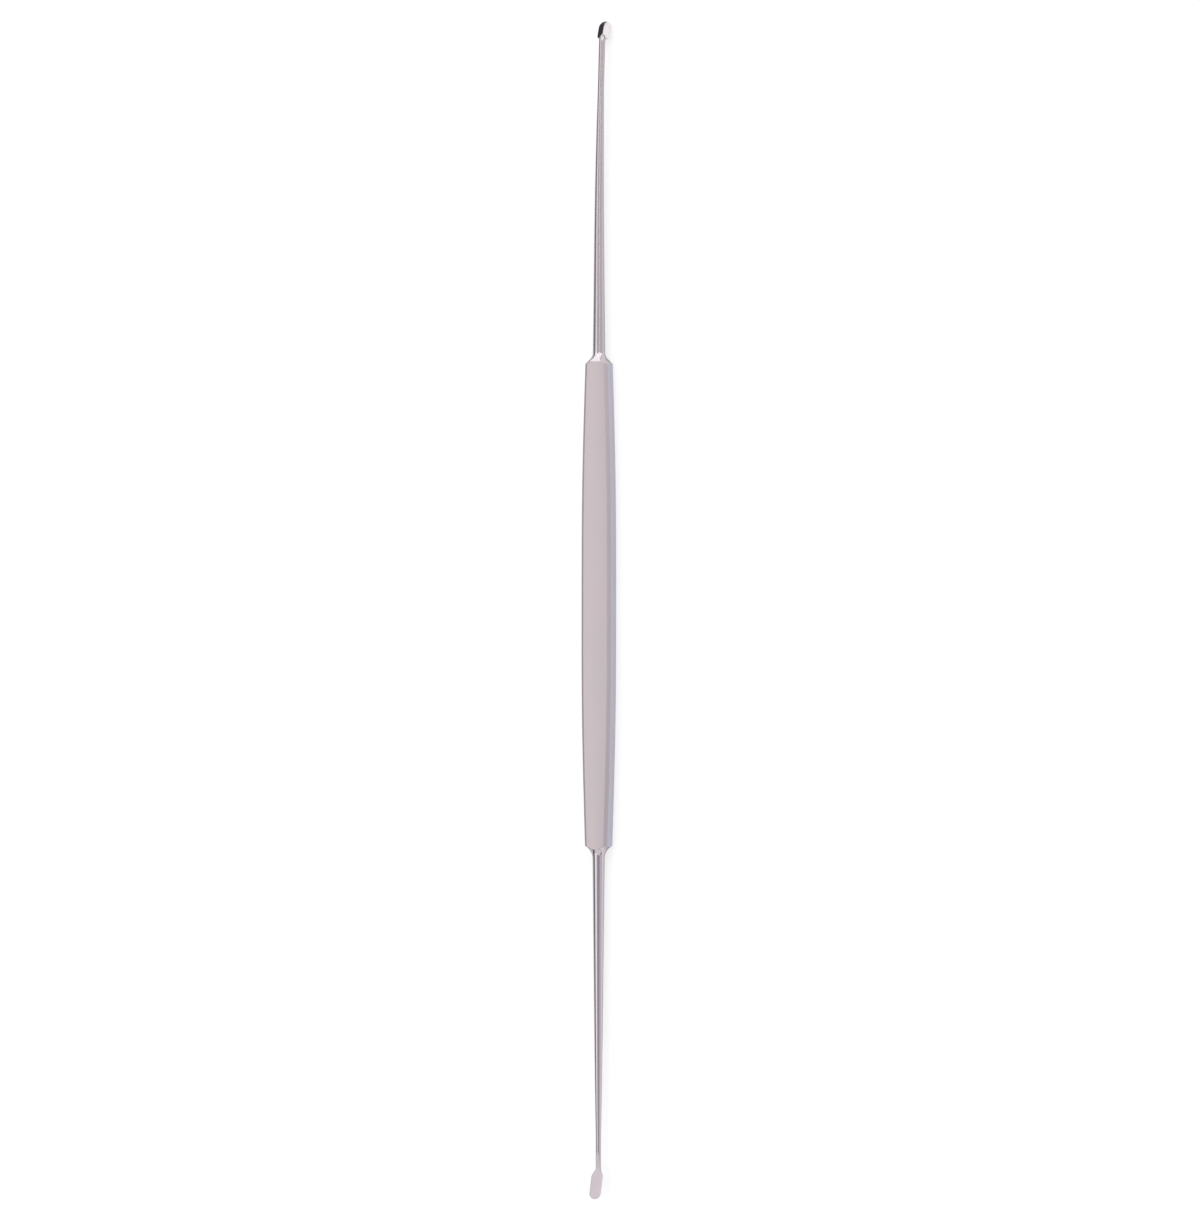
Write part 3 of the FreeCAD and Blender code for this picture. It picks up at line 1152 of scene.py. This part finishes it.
@dataclass(frozen=True)
class Studio:
    """Plain pale floor, soft studio light and the photograph's camera.

    Attributes:
        photo_width: width of the photograph in pixels.
        photo_height: height of the photograph in pixels.
        pixels_per_mm: scale of the photograph at the knife.
        view_angle: turn of the camera off the broad face, in degrees.
        camera_distance: distance of the camera in millimetres.
        knife_axis_pixel: pixel of the middle of the handle's axis.
        camera_roll: turn of the camera round its own line of sight, in degrees.
        axis_height: height of the handle's axis above the floor, in millimetres.
        sensor: width of the camera's sensor in millimetres.
        clip: nearest and furthest distance that the camera sees, in metres.
        floor_half: half the side of the floor in metres.
        floor_gap: how far the floor lies below the knife, in millimetres.
        floor_colour: sRGB colour of the floor under the lamps.
        floor_lift: brightness that is added to the floor to make it white.
        room_colour: sRGB tint of the room.
        room_level: brightness of the room.
        dark_level: brightness of the room's dark side.
        dark_side: direction of the darkest part of the room.
        dark_from: dot product with that direction from which the room is dark.
        light_from: dot product up to which the room is at its full brightness.
        soft_boxes: the lamps.
    """

    photo_width: int = 1200
    photo_height: int = 1209
    pixels_per_mm: float = 6.2
    view_angle: float = 24.5
    camera_distance: float = 1500.0
    knife_axis_pixel: tuple[float, float] = (598.83, 604.75)
    camera_roll: float = 0.047
    axis_height: float = 1.5
    sensor: float = 36.0
    clip: tuple[float, float] = (0.05, 10.0)
    floor_half: float = 3.0
    floor_gap: float = 0.01
    floor_colour: str = "B4B4B4"
    floor_lift: float = 0.6
    room_colour: str = "F4F6FF"
    room_level: float = 0.48
    dark_level: float = 0.06
    dark_side: tuple[float, float, float] = (-0.447, 0.0, -0.894)
    dark_from: float = 0.17
    light_from: float = 0.045
    soft_boxes: tuple[SoftBox, ...] = (
        SoftBox("soft_box_over", (-0.454, 0.0, 0.891), 2.7, 1.55, 0.3, "FFFAFA"),
        SoftBox("soft_box_strip", (-0.515, 0.0, 0.857), 2.7, 0.74, 0.83, "FFFAFA"),
        SoftBox("soft_box_far", (0.0, 0.887, 0.462), 2.0, 1.07, 1.15),
        SoftBox("soft_box_far_high", (0.22, 0.45, 0.87), 1.8, 0.9, 1.2),
        SoftBox("soft_box_far_right", (0.74, 0.52, 0.43), 0.9, 1.1, 1.1),
        SoftBox("soft_box_near", (0.1, -0.86, 0.5), 2.0, 1.6, 0.55),
        SoftBox("soft_box_right", (0.9, 0.0, 0.4), 1.8, 1.3, 0.38, "F6ECFF"),
    )

    def floor(self) -> None:
        """A wide pale floor, white to the camera and in reflections, that keeps the shadow."""
        half, low = self.floor_half, -self.floor_gap * MM
        mesh = bpy.data.meshes.new("floor")
        mesh.from_pydata(
            [(-half, -half, low), (half, -half, low), (half, half, low), (-half, half, low)],
            [],
            [(0, 1, 2, 3)],
        )
        mesh.materials.append(self.paper())
        floor = bpy.data.objects.new("floor", mesh)
        bpy.context.scene.collection.objects.link(floor)
        LOG.info("%s: laid", floor.name)

    def paper(self) -> bpy.types.Material:
        """Makes the floor's matt paper.

        Under the lamps it is a mid grey, so that a shadow shows. What the camera sees and what the
        steel reflects of it is lifted by an even glow.

        Returns:
            The material.
        """
        material = bpy.data.materials.new("paper_pale_matt")
        material.use_nodes = True
        tree = material.node_tree
        tree.nodes.clear()
        path = add_node(tree, "ShaderNodeLightPath", {}, {})
        seen = path.outputs["Is Camera Ray"]
        for ray in ("Is Glossy Ray", "Is Transmission Ray"):
            links = {0: seen, 1: path.outputs[ray]}
            seen = add_node(tree, "ShaderNodeMath", {"operation": "MAXIMUM"}, links).outputs[0]
        strength = add_node(
            tree, "ShaderNodeMath", {"operation": "MULTIPLY", 1: self.floor_lift}, {0: seen}
        )
        lift = add_node(tree, "ShaderNodeEmission", {}, {"Strength": strength.outputs[0]})
        paper = add_node(tree, "ShaderNodeBsdfDiffuse", {"Color": linear(self.floor_colour)}, {})
        both = add_node(
            tree, "ShaderNodeAddShader", {}, {0: paper.outputs[0], 1: lift.outputs[0]}
        )
        add_node(tree, "ShaderNodeOutputMaterial", {}, {"Surface": both.outputs[0]})
        return material

    def room(self) -> None:
        """The room around the boxes: an even grey that falls off to dark low down on one side.

        How dark it is follows the dot product of the direction and the darkest one.
        """
        world = bpy.data.worlds.new("studio_room")
        world.use_nodes = True
        tree = world.node_tree
        tree.nodes.clear()
        coordinates = add_node(tree, "ShaderNodeTexCoord", {}, {})
        facing = add_node(
            tree,
            "ShaderNodeVectorMath",
            {"operation": "DOT_PRODUCT", 1: self.dark_side},
            {0: coordinates.outputs["Generated"]},
        )
        level = add_node(
            tree,
            "ShaderNodeMapRange",
            {
                "interpolation_type": "SMOOTHSTEP",
                "From Min": self.light_from,
                "From Max": self.dark_from,
                "To Min": self.room_level,
                "To Max": self.dark_level,
            },
            {"Value": facing.outputs["Value"]},
        )
        air = add_node(
            tree,
            "ShaderNodeBackground",
            {"Color": linear(self.room_colour)},
            {"Strength": level.outputs["Result"]},
        )
        add_node(tree, "ShaderNodeOutputWorld", {}, {"Surface": air.outputs[0]})
        bpy.context.scene.world = world

    def camera(self) -> None:
        """A long lens over the knife, turned off its broad face by the photograph's angle.

        The focal length is the sensor's width times the distance, over the length that is in view
        along the photograph's longer side.
        """
        turn = math.radians(self.view_angle)
        back = Vector((math.sin(turn), 0, math.cos(turn)))
        roll = Matrix.Rotation(math.radians(self.camera_roll), 3, back)
        right = roll @ Vector((math.cos(turn), 0, -math.sin(turn)))
        up = roll @ Vector((0, 1, 0))
        off_right = (self.photo_width / 2 - self.knife_axis_pixel[0]) / self.pixels_per_mm
        off_up = (self.knife_axis_pixel[1] - self.photo_height / 2) / self.pixels_per_mm
        aim = Vector((0, 0, self.axis_height)) + right * off_right + up * off_up
        data = bpy.data.cameras.new("camera")
        data.sensor_width = self.sensor
        data.lens = self.sensor * self.camera_distance / (self.photo_height / self.pixels_per_mm)
        data.clip_start, data.clip_end = self.clip
        camera = bpy.data.objects.new("camera", data)
        turned = Matrix((right, up, back)).transposed().to_4x4()
        camera.matrix_world = Matrix.Translation((aim + back * self.camera_distance) * MM) @ turned
        bpy.context.scene.collection.objects.link(camera)
        bpy.context.scene.camera = camera

    def build(self) -> None:
        """Sets up the floor, the soft boxes, the room and the camera."""
        self.floor()
        for box in self.soft_boxes:
            box.build()
        self.room()
        self.camera()
        bpy.context.scene.view_settings.view_transform = "Standard"


def main() -> None:
    """Builds the knife and the studio."""
    logging.basicConfig(level=logging.INFO, format="%(message)s")
    FlapKnife().build()
    Studio().build()


if __name__ == "__main__":
    main()
